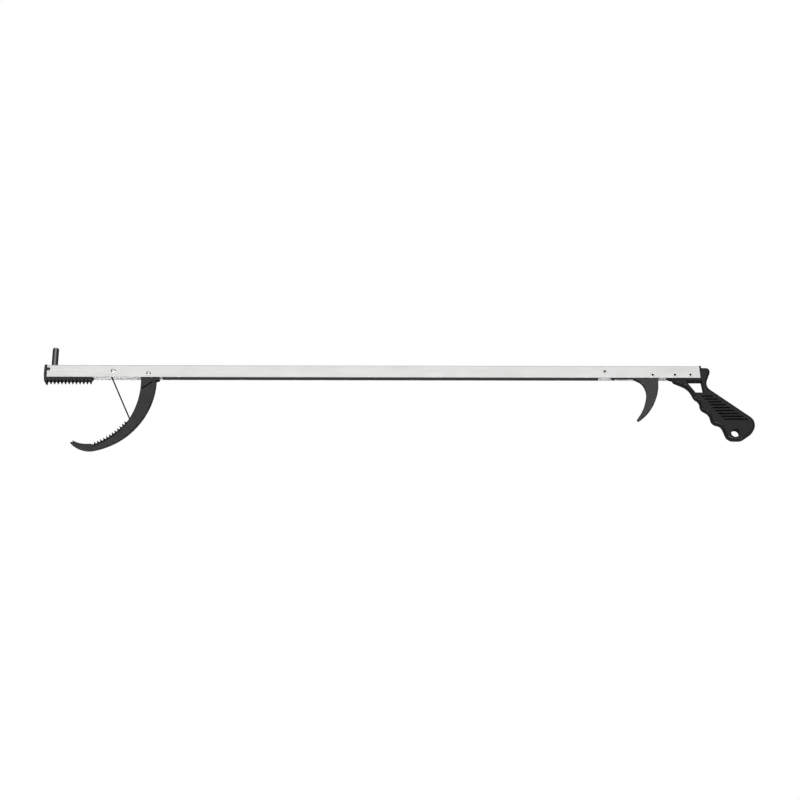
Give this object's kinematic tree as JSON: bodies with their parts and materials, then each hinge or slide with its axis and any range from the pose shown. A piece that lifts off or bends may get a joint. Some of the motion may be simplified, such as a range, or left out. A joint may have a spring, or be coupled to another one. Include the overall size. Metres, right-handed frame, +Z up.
{
  "type": "reacher grabber",
  "caption": "Long-handled reacher: an aluminium channel with a trigger grip at one end, and a cord-driven toothed hook that closes on a serrated fixed jaw at the other.",
  "frame": {"origin": "middle of the grip, on the tool's middle plane, where a hand holds it", "axes": "+X along the channel from the jaws to the grip, +Z up with the hooked jaw and the trigger hanging below the channel, Y across the channel"},
  "size_m": [0.8112, 0.0177, 0.1206],
  "materials": {
    "anodised_aluminium": "satin silver anodising with fine lengthwise draw lines",
    "jaw_plastic": "moulded black polymer with a fine satin grain",
    "trigger_plastic": "moulded black polymer with a fine satin grain",
    "handle_plastic": "moulded black polymer, satin, a little glossier on its edges",
    "strip_plastic": "extruded black polymer",
    "horn_metal": "black-anodised, satin, turned",
    "magnet_metal": "nickel-plated",
    "rivet_metal": "bright rivet",
    "nylon": "natural nylon",
    "bush_steel": "turned",
    "spring_steel": "drawn spring wire",
    "ferrule_metal": "blackened crimp",
    "cord_fibre": "tightly braided black polyester"
  },
  "bodies": {
    "frame": {"channel": "anodised_aluminium", "fixed_jaw": "jaw_plastic", "horn": "horn_metal", "horn_magnet": "magnet_metal", "cover_strip": "strip_plastic", "front_guide_rivet": "rivet_metal", "front_guide_sleeve": "nylon", "rear_guide_rivet": "rivet_metal", "rear_guide_sleeve": "nylon", "jaw_pivot_rivet": "rivet_metal", "jaw_pivot_bush": "bush_steel", "trigger_pivot_rivet": "rivet_metal", "trigger_pivot_bush": "bush_steel", "handle": "handle_plastic", "handle_rivets": "rivet_metal", "cord_channel_run": "cord_fibre", "jaw_spring": "spring_steel"},
    "jaw": {"hooked_jaw": "jaw_plastic", "jaw_ferrule": "ferrule_metal", "cord_jaw_end": "cord_fibre"},
    "lever": {"trigger": "trigger_plastic", "trigger_ferrule": "ferrule_metal", "cord_trigger_run": "cord_fibre"},
    "cord_swing": {"cord_jaw_run": "cord_fibre"}
  },
  "joints": [
    {"name": "trigger_squeeze", "type": "hinge", "parent": "frame", "child": "lever", "pos_m": [-0.0748, 0, 0.0399], "axis": [0, -1, 0], "range_deg": [0, 38.1], "deforming": ["cord_trigger_run"]},
    {"name": "jaw_close", "type": "hinge", "parent": "frame", "child": "jaw", "pos_m": [-0.651, 0, 0.0406], "axis": [0, 1, 0], "range_deg": [0, 37], "stiffness_Nm_per_rad": 0.12, "springref_deg": -28.65},
    {"name": "cord_sway", "type": "hinge", "parent": "frame", "child": "cord_swing", "pos_m": [-0.6912, 0, 0.0437], "axis": [0, 1, 0], "range_deg": [0, 29.3], "deforming": ["cord_jaw_run"]}
  ],
  "couplings": [
    {"joint": "jaw_close", "follows": "trigger_squeeze", "ratio": 0.9711},
    {"joint": "cord_sway", "follows": "trigger_squeeze", "ratio": 0.769}
  ]
}
